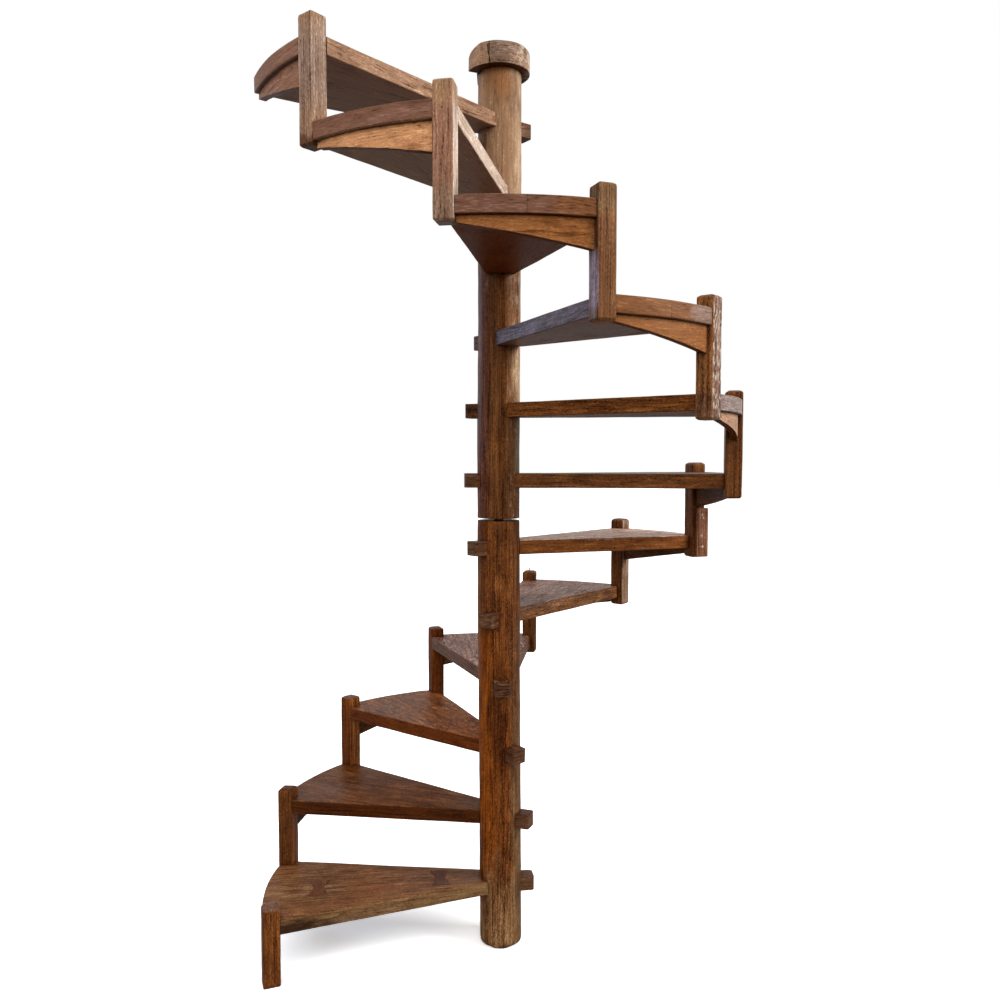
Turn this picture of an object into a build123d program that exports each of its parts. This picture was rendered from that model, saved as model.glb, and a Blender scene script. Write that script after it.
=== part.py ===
from build123d import *
import os

# A wooden spiral stair: wedge treads wind clockwise round a turned newel, seen from above on the way up.
# Millimetres. The newel's axis stands on the origin at floor level, +Z is up.
# A tread's own plane has +X out along its centreline and +Y towards its front edge, which a climber meets first.

# The flight
tread_count = 12
step_angle = 30.0
first_tread_bearing = 186.5
first_rise = 197.0
rise = 216.0

# Treads, each one plank outline with its tenon right through the newel
tread_radius = 731.0
tread_thickness = 44.0
side_angle = 14.0
front_offset = 20.0
rear_offset = 34.0
last_rear_offset = 24.0
tenon_width = 50.0
tenon_reach = 40.0
tenon_corner = 8.0
tread_arris = 2.0

# Newel, in two lengths on a dowel, and its cap, cut back for the landing's trimmer
newel_radius = 66.0
newel_split = 1349.0
newel_gap = 8.0
newel_top = 2704.0
newel_arris = 6.0
dowel_radius = 15.0
dowel_socket = 60.0
spigot_radius = 30.0
spigot_height = 35.0
cap_radius = 95.0
cap_height = 69.0
cap_edge = 14.0
crack_width = 2.5
crack_depth = 48.0
crack_bearing = 253.0
trimmer_bearing = 203.0
trimmer_corner = (-65.0, -21.0)

# Stub posts, one at each tread's front outer corner, let into that tread and the one below, a little proud of the nose
post_width = 50.0
post_proud = 4.0
post_above = 36.0
post_below = 25.0
post_arris = 3.0
post_end = 6.0
post_lifts = {7: -4.0, 8: -4.0, 10: 4.0, 11: 9.0, 12: 15.0}

# Aprons, curved tapering boards between the posts, under each tread but the first
apron_setback = 12.0
apron_thickness = 20.0
apron_front_depth = 73.0
apron_rear_depth = 17.0
apron_end_gap = 6.0
apron_overrun = 60.0

# Repairs: a cleat nailed to a broken post, and butterfly keys across the first tread's glue line
cleat_step = 7
cleat_width = 46.0
cleat_thickness = 12.0
cleat_height = 166.0
cleat_gap = 4.0
cleat_shift = 9.0
cleat_arris = 2.0
key_length = 96.0
key_width = 44.0
key_waist = 22.0
key_depth = 8.0
key_places = [(566.0, 0.0), (190.0, -12.0)]

clear_reach = tread_radius + 100.0
post_reach = tread_radius + post_proud - post_width / 2
post_offset = front_offset - post_width / 2
steps = range(1, tread_count + 1)

os.makedirs("parts", exist_ok=True)


def bearing(step):
    return first_tread_bearing - step_angle * (step - 1)


def tread_top(step):
    return first_rise + rise * (step - 1)


def underside(step):
    return tread_top(step) - tread_thickness


def rear_setoff(step):
    """The last tread laps no post, so its rear edge is trimmed closer."""
    return last_rear_offset if step == tread_count else rear_offset


def level_plane(turn, height):
    """A level plane at a height, with its +X turned to a bearing."""
    return Plane.XY.offset(height).rotated((0, 0, turn))


def side_point(turn, reach, offset):
    """A point at a reach along a line turned from +X, and set off to the line's left."""
    return Vector(reach, offset).rotate(Axis.Z, turn)


def post_seat(turn):
    """The middle of a post's foot, for a front edge turned this far from +X."""
    return Location(side_point(turn, post_reach, post_offset), (0, 0, turn))


def key_outline():
    """A butterfly key, its length across the tread."""
    return Polygon(
        (key_width / 2, key_length / 2),
        (key_waist / 2, 0),
        (key_width / 2, -key_length / 2),
        (-key_width / 2, -key_length / 2),
        (-key_waist / 2, 0),
        (-key_width / 2, key_length / 2),
        align=None,
    )


# Treads: a wedge with a curved nose, coped to the newel, notched for two posts
for step in steps:
    name = f"tread_{step:02d}"
    with BuildPart() as tread:
        with BuildSketch(level_plane(bearing(step), underside(step))):
            with BuildLine():
                Polyline(
                    side_point(side_angle, 0, front_offset),
                    side_point(side_angle, clear_reach, front_offset),
                    side_point(-side_angle, clear_reach, -rear_setoff(step)),
                    side_point(-side_angle, 0, -rear_setoff(step)),
                    close=True,
                )
            make_face()
            Circle(tread_radius, mode=Mode.INTERSECT)
            Circle(newel_radius, mode=Mode.SUBTRACT)
            with Locations(post_seat(side_angle)):
                Rectangle(post_width, post_width, mode=Mode.SUBTRACT)
            if step < tread_count:
                with Locations(post_seat(side_angle - step_angle)):
                    Rectangle(post_width, post_width, mode=Mode.SUBTRACT)
            with Locations((-tenon_reach / 2, 0)):
                Rectangle(2 * newel_radius + tenon_reach, tenon_width)
        extrude(amount=tread_thickness)
        outward = level_plane(bearing(step), 0).x_dir
        tenon_ends = tread.edges().filter_by(Axis.Z).sort_by(lambda edge: edge.center().dot(outward))[:2]
        fillet(tenon_ends, tenon_corner)
        long_edges = tread.edges().filter_by(lambda edge: edge.length > newel_radius * 4)
        chamfer(long_edges, tread_arris)
        if step == 1:
            with BuildSketch(level_plane(bearing(step), tread_top(step))):
                with Locations(*key_places):
                    key_outline()
            extrude(amount=-key_depth, mode=Mode.SUBTRACT)
    tread.part.label = name
    export_step(tread.part, f"parts/{name}.step")


# Butterfly keys, let in flush across the first tread
with BuildPart() as butterfly_keys:
    with BuildSketch(level_plane(bearing(1), tread_top(1))):
        with Locations(*key_places):
            key_outline()
    extrude(amount=-key_depth)
butterfly_keys.part.label = "butterfly_keys"
export_step(butterfly_keys.part, "parts/butterfly_keys.step")


# The mortises through the newel, one for each tread's tenon
with BuildPart() as mortises:
    for step in steps:
        with BuildSketch(level_plane(bearing(step), underside(step))):
            Rectangle(3 * newel_radius, tenon_width)
        extrude(amount=tread_thickness)


# Newel, lower length
with BuildPart() as newel_lower:
    with BuildSketch(Plane.XY):
        Circle(newel_radius)
    extrude(amount=newel_split)
    chamfer(newel_lower.faces().sort_by(Axis.Z)[0].edges(), newel_arris)
    add(mortises.part, mode=Mode.SUBTRACT)
    with BuildSketch(Plane.XY.offset(newel_split)):
        Circle(dowel_radius)
    extrude(amount=-dowel_socket, mode=Mode.SUBTRACT)
newel_lower.part.label = "newel_lower"
export_step(newel_lower.part, "parts/newel_lower.step")


# Newel, upper length, with a spigot for the cap
upper_foot = newel_split + newel_gap
with BuildPart() as newel_upper:
    with BuildSketch(Plane.XY.offset(upper_foot)):
        Circle(newel_radius)
    extrude(amount=newel_top - upper_foot)
    add(mortises.part, mode=Mode.SUBTRACT)
    with BuildSketch(Plane.XY.offset(newel_top)):
        Circle(spigot_radius)
    extrude(amount=spigot_height)
    with BuildSketch(Plane.XY.offset(upper_foot)):
        Circle(dowel_radius)
    extrude(amount=dowel_socket, mode=Mode.SUBTRACT)
newel_upper.part.label = "newel_upper"
export_step(newel_upper.part, "parts/newel_upper.step")


# Dowel that joins the two lengths
with BuildPart() as newel_dowel:
    with BuildSketch(Plane.XY.offset(newel_split - dowel_socket)):
        Circle(dowel_radius)
    extrude(amount=2 * dowel_socket + newel_gap)
newel_dowel.part.label = "newel_dowel"
export_step(newel_dowel.part, "parts/newel_dowel.step")


# Cap: an eased disc with a shake in its front and a corner cut away for the landing's trimmer
with BuildPart() as newel_cap:
    with BuildSketch(Plane.XY.offset(newel_top)):
        Circle(cap_radius)
    extrude(amount=cap_height)
    fillet(newel_cap.faces().sort_by(Axis.Z)[-1].edges(), cap_edge)
    with BuildSketch(Plane.XY.offset(newel_top)):
        Circle(spigot_radius)
    extrude(amount=spigot_height, mode=Mode.SUBTRACT)
    with BuildSketch(level_plane(crack_bearing, newel_top)):
        with Locations((cap_radius - crack_depth / 2 + crack_width, 0)):
            Rectangle(crack_depth + 2 * crack_width, crack_width)
    extrude(amount=cap_height, mode=Mode.SUBTRACT)
    with BuildSketch(Plane.XY.offset(newel_top)):
        with BuildLine():
            corner = Vector(*trimmer_corner)
            shoulder_end = corner + side_point(trimmer_bearing, cap_radius, 0)
            Polyline(
                corner,
                shoulder_end,
                (shoulder_end.X, 2 * cap_radius),
                (corner.X, 2 * cap_radius),
                close=True,
            )
        make_face()
    extrude(amount=cap_height, mode=Mode.SUBTRACT)
newel_cap.part.label = "newel_cap"
export_step(newel_cap.part, "parts/newel_cap.step")


# Stub posts: square, arrises eased, ends chamfered. The first is the foot post, square on the floor.
for step in steps:
    name = f"post_{step:02d}"
    lift = post_lifts.get(step, 0.0)
    foot = 0.0 if step == 1 else underside(step - 1) - post_below + lift
    head = tread_top(step) + post_above + lift
    with BuildPart() as post:
        with BuildSketch(level_plane(bearing(step), foot)):
            with Locations(post_seat(side_angle)):
                Rectangle(post_width, post_width)
        extrude(amount=head - foot)
        chamfer(post.faces().sort_by(Axis.Z)[-1].edges(), post_end)
        if step > 1:
            chamfer(post.faces().sort_by(Axis.Z)[0].edges(), post_end)
        chamfer(post.edges().filter_by(Axis.Z), post_arris)
    post.part.label = name
    export_step(post.part, f"parts/{name}.step")


# Aprons: a curved board in plan, cut to a tapering front elevation
front_end = side_point(side_angle, tread_radius, front_offset - post_width).Y
rear_end = side_point(side_angle - step_angle, tread_radius, front_offset).Y
front_limit = front_end + apron_overrun
rear_limit = rear_end - apron_overrun
apron_slope = (apron_front_depth - apron_rear_depth) / (front_end - rear_end)


def apron_depth(lateral):
    return apron_rear_depth + apron_slope * (lateral - rear_end)


for step in steps[1:]:
    name = f"apron_{step:02d}"
    front_line = (side_angle, front_offset - post_width)
    rear_line = (side_angle - step_angle, front_offset)
    if step == tread_count:
        rear_line = (-side_angle, apron_end_gap - rear_setoff(step))
    with BuildPart() as apron:
        with BuildSketch(level_plane(bearing(step), underside(step))):
            Circle(tread_radius - apron_setback)
            Circle(tread_radius - apron_setback - apron_thickness, mode=Mode.SUBTRACT)
            with BuildLine():
                Polyline(
                    side_point(front_line[0], tread_radius / 2, front_line[1]),
                    side_point(front_line[0], clear_reach, front_line[1]),
                    side_point(rear_line[0], clear_reach, rear_line[1]),
                    side_point(rear_line[0], tread_radius / 2, rear_line[1]),
                    close=True,
                )
            make_face(mode=Mode.INTERSECT)
        extrude(amount=-2 * apron_front_depth)
        level = level_plane(bearing(step), underside(step))
        with BuildSketch(Plane(origin=level.origin, x_dir=level.y_dir, z_dir=level.x_dir)):
            with BuildLine():
                Polyline(
                    (front_limit, 0),
                    (front_limit, -apron_depth(front_limit)),
                    (rear_limit, -apron_depth(rear_limit)),
                    (rear_limit, 0),
                    close=True,
                )
            make_face()
        extrude(amount=clear_reach, mode=Mode.INTERSECT)
    apron.part.label = name
    export_step(apron.part, f"parts/{name}.step")


# Cleat across the break in one post
cleat_head = underside(cleat_step) - apron_front_depth - cleat_gap
with BuildPart() as post_cleat:
    with BuildSketch(level_plane(bearing(cleat_step) + side_angle, cleat_head)):
        with Locations((post_reach + cleat_shift, front_offset - post_width - cleat_thickness / 2)):
            Rectangle(cleat_width, cleat_thickness)
    extrude(amount=-cleat_height)
    chamfer(post_cleat.edges().filter_by(Axis.Z), cleat_arris)
post_cleat.part.label = "post_cleat"
export_step(post_cleat.part, "parts/post_cleat.step")
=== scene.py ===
import math

import bmesh
import bpy
from mathutils import Euler, Matrix, Vector, noise


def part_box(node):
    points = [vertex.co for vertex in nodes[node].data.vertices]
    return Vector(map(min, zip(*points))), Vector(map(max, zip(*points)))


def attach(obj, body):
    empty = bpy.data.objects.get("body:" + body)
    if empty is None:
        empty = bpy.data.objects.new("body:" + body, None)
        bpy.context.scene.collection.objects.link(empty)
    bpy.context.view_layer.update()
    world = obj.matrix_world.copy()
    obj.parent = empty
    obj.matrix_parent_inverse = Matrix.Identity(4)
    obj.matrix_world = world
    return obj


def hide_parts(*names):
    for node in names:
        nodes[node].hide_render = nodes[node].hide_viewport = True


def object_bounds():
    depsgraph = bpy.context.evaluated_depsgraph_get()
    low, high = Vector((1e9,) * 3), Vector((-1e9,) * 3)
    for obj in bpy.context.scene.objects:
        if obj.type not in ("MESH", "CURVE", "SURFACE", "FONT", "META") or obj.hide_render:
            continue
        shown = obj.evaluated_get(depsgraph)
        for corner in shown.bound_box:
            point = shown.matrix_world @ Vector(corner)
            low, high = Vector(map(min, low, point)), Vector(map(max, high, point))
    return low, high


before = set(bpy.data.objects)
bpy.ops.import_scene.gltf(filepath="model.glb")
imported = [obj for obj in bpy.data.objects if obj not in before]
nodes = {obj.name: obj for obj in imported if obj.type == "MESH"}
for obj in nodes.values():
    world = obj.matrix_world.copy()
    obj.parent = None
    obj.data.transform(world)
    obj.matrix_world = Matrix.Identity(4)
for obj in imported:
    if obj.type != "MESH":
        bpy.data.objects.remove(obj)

cadLow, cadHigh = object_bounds()
scene = bpy.context.scene

# The stair's own measures, in degrees and metres, as the solids have them
stair = {
    "steps": 12, "firstBearing": 186.5, "stepAngle": 30.0, "sideAngle": 14.0,
    "rim": 0.731, "newel": 0.066, "frontOffset": 0.020, "thickness": 0.044, "rise": 0.216,
}
upright = Vector((0, 0, 1))
treadTops = {step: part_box(f"tread_{step:02d}")[1].z for step in range(1, stair["steps"] + 1)}


def bearing(step):
    return stair["firstBearing"] - stair["stepAngle"] * (step - 1)


def heading(angle):
    return (math.cos(math.radians(angle)), math.sin(math.radians(angle)), 0.0)


def turned(angles):
    return [math.radians(angle) for angle in angles]


# Small helpers for node trees. Each finds its tree from the sockets that it is given.

def isSocket(value):
    return isinstance(value, bpy.types.NodeSocket)


def wire(value, socket):
    if isSocket(value):
        socket.id_data.links.new(value, socket)
    elif socket.type == "RGBA" and len(value) == 3:
        socket.default_value = (*value, 1.0)
    else:
        socket.default_value = value


def addNode(kind, inputs, **settings):
    tree = next(value.id_data for value in inputs.values() if isSocket(value))
    node = tree.nodes.new(kind)
    for label, value in settings.items():
        setattr(node, label, value)
    for place, value in inputs.items():
        wire(value, node.inputs[place])
    return node


def calc(operation, *values):
    return addNode("ShaderNodeMath", dict(enumerate(values)), operation=operation).outputs[0]


def vectorCalc(operation, *values):
    node = addNode("ShaderNodeVectorMath", dict(enumerate(values)), operation=operation)
    return node.outputs["Value" if operation in {"LENGTH", "DOT_PRODUCT"} else 0]


def times(first, *others):
    for other in others:
        first = calc("MULTIPLY", first, other)
    return first


def plus(first, second):
    return calc("ADD", first, second)


def minus(first, second):
    return calc("SUBTRACT", first, second)


def highest(first, second):
    return calc("MAXIMUM", first, second)


def moved(vector, way):
    return vectorCalc("ADD", vector, way)


def scaled(vector, sizes):
    return vectorCalc("MULTIPLY", vector, sizes)


def stretched(vector, share):  # what is drawn on it comes out that many times longer along X
    return scaled(vector, (1.0, share, share))


def softStep(value, low, high, floor=0.0, ceiling=1.0):
    limits = dict(enumerate((value, low, high, floor, ceiling)))
    return addNode("ShaderNodeMapRange", limits, interpolation_type="SMOOTHSTEP").outputs[0]


def blend(factor, first, second, mode="MIX"):
    colours = {0: factor, 6: first, 7: second}
    return addNode("ShaderNodeMix", colours, data_type="RGBA", blend_type=mode).outputs[2]


def multiplied(factor, colour, by):
    return blend(factor, colour, by, "MULTIPLY")


def split(vector):
    return addNode("ShaderNodeSeparateXYZ", {0: vector}).outputs


def joined(x, y, z):
    return addNode("ShaderNodeCombineXYZ", {0: x, 1: y, 2: z}).outputs[0]


def noiseAt(vector, scale, detail=2.0, roughness=0.5, output="Fac"):
    inputs = {"Vector": vector, "Scale": scale, "Detail": detail, "Roughness": roughness}
    return addNode("ShaderNodeTexNoise", inputs).outputs[output]


def swayAt(vector, *settings):  # noise that falls as far below zero as it rises above
    return minus(noiseAt(vector, *settings), 0.5)


def swayVectorAt(vector, *settings):
    return vectorCalc("SUBTRACT", noiseAt(vector, *settings, output="Color"), (0.5, 0.5, 0.5))


def cellsAt(vector, scale):
    return addNode("ShaderNodeTexVoronoi", {"Vector": vector, "Scale": scale}).outputs


def placedIn(vector, location, angles):  # the same place in a frame of its own
    inputs = {"Vector": vector, "Location": location, "Rotation": turned(angles)}
    return addNode("ShaderNodeMapping", inputs, vector_type="TEXTURE").outputs[0]


def facing(normal, direction):
    return softStep(vectorCalc("DOT_PRODUCT", normal, direction), 0.6, 0.85)


# A vector moved by the seed, so that each piece shows another stretch of the same pattern
def seeded(given, x, y, z):
    seed = given["Seed"]
    return moved(given["Vector"], joined(times(seed, x), times(seed, y), times(seed, z)))


def newGroup(name, inputs, draw):
    tree = bpy.data.node_groups.new(name, "ShaderNodeTree")
    for label, value in inputs.items():
        kind = "Float" if isinstance(value, float) else "Color" if len(value) == 4 else "Vector"
        socket = tree.interface.new_socket(label, in_out="INPUT", socket_type="NodeSocket" + kind)
        socket.default_value = value
    made = draw(tree.nodes.new("NodeGroupInput").outputs)
    for label, value in made.items():
        kind = "Color" if value.type == "RGBA" else "Float"
        tree.interface.new_socket(label, in_out="OUTPUT", socket_type="NodeSocket" + kind)
    end = tree.nodes.new("NodeGroupOutput")
    for label, value in made.items():
        wire(value, end.inputs[label])
    return tree


def place(group, **values):
    return addNode("ShaderNodeGroup", values, node_tree=group).outputs


nowhere = (0.0, 0.0, 0.0)
white = (1.0, 1.0, 1.0)
rubbed = (1.9, 2.15, 2.35)
bleached = (1.6, 1.8, 2.1)
bruised = (2.1, 2.5, 2.9)
stained = (0.42, 0.34, 0.3)
grimy = (0.4, 0.32, 0.28)
crackled = (0.3, 0.2, 0.17)
# The next colour darkens cracks, holes and dirt, and also the painted shade in corners
dirtAndShade = (0.16, 0.12, 0.11)
chalky = (0.5, 0.42, 0.33)

# Grain of a sawn board or stick. The vector's X runs along the grain, and the rings close round a pith below.
figure = {  # for each layer, how far it is drawn out along the grain, then its scale, detail and roughness
    "wander": (3.2, 2.4, 2.0, 0.5),
    "ripple": (3.0, 14.0, 2.0, 0.5),
    "streak": (40.0, 2.4, 3.0, 0.6),
    "fibre": (58.0, 5.0, 3.0, 0.65),
    "fleck": (2.6, 130.0, 2.0, 0.6),
    "mottle": (2.4, 17.0, 4.0, 0.62),
    "score": (56.0, 4.0, 2.0, 0.55),
    "ringStrength": (4.0, 3.0, 1.0, 0.5),
    "pore": (26.0, 28.0, 2.0, 0.6),
    "varnish": (3.0, 27.0, 3.0, 0.62),
}
layerAmounts = {"streak": 1.0, "fibre": 1.5, "fleck": 1.5, "mottle": 0.8}
plainTone, scoreDepth, ringDepth, rippleSize = 0.56, 0.36, 0.24, 0.004


def layer(vector, name, draw=noiseAt):
    share, *settings = figure[name]
    return draw(stretched(vector, share), *settings)


def drawGrain(given):
    own = seeded(given, 3.17, 1.31, 2.23)
    wander = scaled(layer(own, "wander", swayVectorAt), joined(0.0, given["Wander"], given["Wander"]))
    ripple = scaled(layer(own, "ripple", swayVectorAt), (0.0, rippleSize, rippleSize))
    bend = moved(wander, ripple)
    x, y, z = split(moved(given["Vector"], bend))
    fromPith = joined(0.0, minus(y, given["Pith Side"]), plus(z, given["Pith Depth"]))
    age = plus(calc("DIVIDE", vectorCalc("LENGTH", fromPith), given["Ring Width"]), times(given["Seed"], 7.3))
    season = calc("FRACT", age)
    late = times(softStep(season, 0.25, 0.92), softStep(season, 1.0, 0.93))
    flow = moved(own, bend)
    layers = {name: layer(own if name in {"fleck", "mottle"} else flow, name) for name in layerAmounts}
    tone = plainTone
    for name, amount in layerAmounts.items():
        tone = plus(times(minus(layers[name], 0.5), amount), tone)
    tone = minus(tone, softStep(layer(flow, "score"), 0.58, 0.68, 0.0, scoreDepth))
    strength = softStep(layer(own, "ringStrength"), 0.35, 0.62, 0.25, 1.0)
    tone = minus(tone, times(late, strength, ringDepth))
    pores = times(softStep(layer(flow, "pore"), 0.56, 0.64), softStep(season, 0.6, 0.1, 0.45, 1.0))
    net = calc("ABSOLUTE", minus(layer(flow, "varnish"), 0.5))  # old varnish drawn up into a wandering net
    height = minus(plus(times(layers["streak"], 0.4), times(layers["fibre"], 0.7)), times(pores, 0.6))
    return {"Tone": tone, "Pores": pores, "Crazing": softStep(net, 0.07, 0.02),
            "Islands": softStep(net, 0.06, 0.15), "Height": height}


# Tone of the wood laid over a body colour: reddish where it is dark, straw-coloured where it is light
def drawColour(given):
    spread = times(minus(given["Tone"], 0.5), given["Contrast"])
    shaded = blend(softStep(spread, -0.02, -0.42), white, (0.24, 0.15, 0.12))
    lit = blend(softStep(spread, 0.0, 0.42), shaded, (2.0, 2.35, 2.8))
    pitting = times(given["Pores"], 0.5, calc("MINIMUM", given["Contrast"], 1.0))
    pitted = multiplied(pitting, lit, (0.35, 0.27, 0.24))
    return {"Color": multiplied(1.0, given["Body"], pitted)}


# Broad uneven patches: where the old varnish is left, where it has gone, and hand grease
def drawPatches(given):
    own = seeded(given, 5.71, 3.4831, -2.1127)
    across = times(given["Size"], 2.4)
    own = scaled(own, joined(given["Size"], across, across))
    fine = noiseAt(own, 9.0, 3.0, 0.6)
    broad = plus(noiseAt(own, 1.0, 5.0, 0.6), times(minus(fine, 0.5), 0.18))
    limit = minus(0.72, times(given["Cover"], 0.44))
    return {"Mask": softStep(broad, limit, plus(limit, 0.14)), "Fine": fine}


# Arrises rubbed bare: a rounded normal against the true one, broken up by noise
def drawEdges(given):
    rounded = addNode("ShaderNodeBevel", {"Radius": given["Width"]}, samples=4)
    surface = rounded.id_data.nodes.new("ShaderNodeNewGeometry")
    turn = minus(1.0, vectorCalc("DOT_PRODUCT", rounded.outputs[0], surface.outputs["Normal"]))
    edge = softStep(turn, 0.01, 0.16)
    bare = softStep(noiseAt(given["Vector"], 26.0, 4.0, 0.7), 0.47, 0.62)
    return {"Pale": times(edge, bare, given["Amount"]), "Dark": times(edge, minus(1.0, bare))}


# Corners, creases and joints between parts darkened where ambient occlusion finds them hidden: painted shade,
# together with dust and old polish held there
def drawCorners(given):
    hidden = addNode("ShaderNodeAmbientOcclusion", {"Distance": given["Reach"]}, samples=6)
    shut = softStep(hidden.outputs["AO"], 0.86, 0.25)
    uneven = softStep(noiseAt(given["Vector"], 30.0, 3.0, 0.6), 0.25, 0.6, 0.55, 1.0)
    return {"Mask": times(shut, uneven, given["Amount"])}


# Pale dents and scratches, and worm holes
def drawKnocks(given):
    own = seeded(given, 2.93, 2.051, -3.809)
    dent = cellsAt(moved(own, scaled(swayVectorAt(own, 90.0), (0.006, 0.006, 0.006))), 24.0)
    pick, size, depth = split(dent["Color"])
    chosen = calc("GREATER_THAN", pick, minus(1.0, times(given["Dents"], 0.55)))
    edge = plus(0.06, times(size, 0.1))
    hollow = softStep(dent["Distance"], edge, times(edge, 0.4))
    dents = times(hollow, chosen, softStep(depth, 0.0, 1.0, 0.35, 1.0))
    lines = []
    for turn, offset in ((0.5, 0.0), (-0.9, 4.0)):  # two sets of scratches that cross at an angle
        inputs = {"Vector": moved(own, (offset, 0.0, 0.0)), "Rotation": (turn * 0.6, turn * 0.4, turn)}
        crossed = addNode("ShaderNodeVectorRotate", inputs, rotation_type="EULER_XYZ").outputs[0]
        lines.append(softStep(noiseAt(stretched(crossed, 60.0), 7.0, 1.0, 0.4), 0.67, 0.72))
    gate = softStep(noiseAt(own, 6.0), 0.48, 0.62)
    scratches = times(highest(*lines), gate, given["Scratches"])
    bore = cellsAt(own, 46.0)
    live = times(calc("GREATER_THAN", split(bore["Color"])[1], 0.82), softStep(noiseAt(own, 3.4), 0.46, 0.6))
    holes = times(softStep(bore["Distance"], 0.075, 0.045), live, given["Worm"])
    deep = plus(plus(times(dents, 0.6), times(scratches, 0.4)), holes)
    return {"Pale": highest(times(dents, 0.9), scratches), "Holes": holes, "Height": times(deep, -1.0)}


# Drying checks: thin dark lines that open along the grain
def drawChecks(given):
    own = seeded(given, 4.19, 4.19, 4.19)
    sway = times(swayAt(stretched(own, 2.0), 5.0), 0.012)
    x, y, z = split(own)
    swayed = scaled(joined(x, plus(y, sway), minus(z, sway)), joined(1.3, given["Spacing"], given["Spacing"]))
    line = softStep(calc("ABSOLUTE", swayAt(swayed, 1.0, 3.0, 0.55)), 0.011, 0.003)
    gate = softStep(noiseAt(stretched(own, 6.0), 2.0), 0.5, 0.62)
    return {"Mask": times(line, gate, given["Amount"])}


# A soft-edged spot, long along the grain, for stains, painted shadows, painted highlights and painted sheen
# at known places
def drawSpot(given):
    away = vectorCalc("DIVIDE", vectorCalc("SUBTRACT", given["Vector"], given["Centre"]), given["Spread"])
    uneven = times(swayAt(stretched(given["Vector"], 3.0), 14.0, 4.0, 0.6), given["Ragged"], 4.0)
    return {"Mask": softStep(plus(vectorCalc("LENGTH", away), uneven), 1.15, 0.55)}


# A thin straight line along a board, at one place on Y: a glue joint or a saw cut
def drawSeam(given):
    x, y, z = split(given["Vector"])
    offset = minus(minus(y, given["Across"]), times(x, given["Slant"]))
    line = softStep(calc("ABSOLUTE", offset), given["Width"], times(given["Width"], 0.4))
    return {"Line": line, "Side": calc("GREATER_THAN", offset, 0.0)}


grainGroup = newGroup("timberGrain", {
    "Vector": nowhere, "Seed": 0.0, "Ring Width": 0.008, "Wander": 0.02, "Pith Side": 0.02,
    "Pith Depth": 0.09,
}, drawGrain)
colourGroup = newGroup("woodColour", {
    "Tone": 0.5, "Pores": 0.0, "Contrast": 1.0, "Body": (*white, 1.0)}, drawColour)
patchGroup = newGroup("patches", {"Vector": nowhere, "Seed": 0.0, "Size": 5.0, "Cover": 0.5}, drawPatches)
edgeGroup = newGroup("rubbedEdges", {"Vector": nowhere, "Width": 0.004, "Amount": 0.6}, drawEdges)
cornerGroup = newGroup("darkCorners", {"Vector": nowhere, "Reach": 0.03, "Amount": 0.7}, drawCorners)
knockGroup = newGroup("knocks", {
    "Vector": nowhere, "Seed": 0.0, "Dents": 0.5, "Scratches": 0.5, "Worm": 0.4}, drawKnocks)
checkGroup = newGroup("dryingChecks", {
    "Vector": nowhere, "Seed": 0.0, "Spacing": 16.0, "Amount": 0.5}, drawChecks)
spotGroup = newGroup("spot", {
    "Vector": nowhere, "Centre": nowhere, "Spread": (0.1, 0.1, 0.1), "Ragged": 0.35}, drawSpot)
seamGroup = newGroup("seam", {"Vector": nowhere, "Across": 0.0, "Slant": 0.0, "Width": 0.0009}, drawSeam)
print("node groups made")

# Oak colours met on the stair, from dark and waxed to bare and pale
oak = {
    "deep": (0.075, 0.016, 0.002), "amber": (0.2, 0.05, 0.005), "olive": (0.17, 0.085, 0.034),
    "red": (0.125, 0.037, 0.008), "brown": (0.13, 0.048, 0.016), "umber": (0.125, 0.056, 0.034),
    "orange": (0.24, 0.088, 0.026), "apricot": (0.29, 0.135, 0.06), "tan": (0.26, 0.142, 0.082),
    "worn": (0.272, 0.126, 0.075), "bare": (0.45, 0.27, 0.18), "grey": (0.21, 0.15, 0.125),
    # The lilac colour is a painted sheen of cool light on the varnish
    "pale": (0.45, 0.33, 0.245), "lilacSheen": (0.17, 0.118, 0.145),
}


def tone(name, strength=1.0):
    return tuple(value * strength for value in oak[name])


# What every wooden finish starts from
plainWood = {
    "body": tone("brown"),
    "contrast": 0.85, "endContrast": 0.8,
    "crazed": 0.0, "islands": 0.0,  # the net of old varnish, and the bare wood in its meshes
    "ringWidth": 0.008, "wander": 0.02, "pith": (0.02, 0.09),
    "bleachCover": 0.4, "bleachAmount": 0.5,
    "stainCover": 0.4, "stainAmount": 0.6,
    "patchSize": 5.0,
    "sideRun": 1.0,  # below 1, the grain runs straight along a board's narrow sides
    "edgeAmount": 0.6, "edgeDark": 0.75, "edgeWidth": 0.004,
    # The corner settings set the painted shade, with dust, in corners and between parts
    "cornerAmount": 0.8, "cornerReach": 0.03,
    "dents": 0.5, "scratches": 0.5, "worm": 0.3, "paleAmount": 0.6,
    "checks": 0.5, "checkSpacing": 16.0,
    "roughness": (0.42, 0.68),
    "bump": 0.4, "bumpDepth": 0.0012,
    "specular": 0.12, "specularTint": (1.0, 0.75, 0.5, 1.0),
    "flakes": None,  # the surface gone pale and scaly: the way it faces, its cover, amount and size
    "calm": None,  # figure that fades from one place along the grain to another, and the share left
    "seams": [],  # glue joints: the place across the board and the slant
    "fissures": [],  # radial cracks: a point, the way they face, slant and width
    "spots": [],  # stains, painted shadows, painted highlights and painted sheen: centre, spread, colour and amount
}


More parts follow.
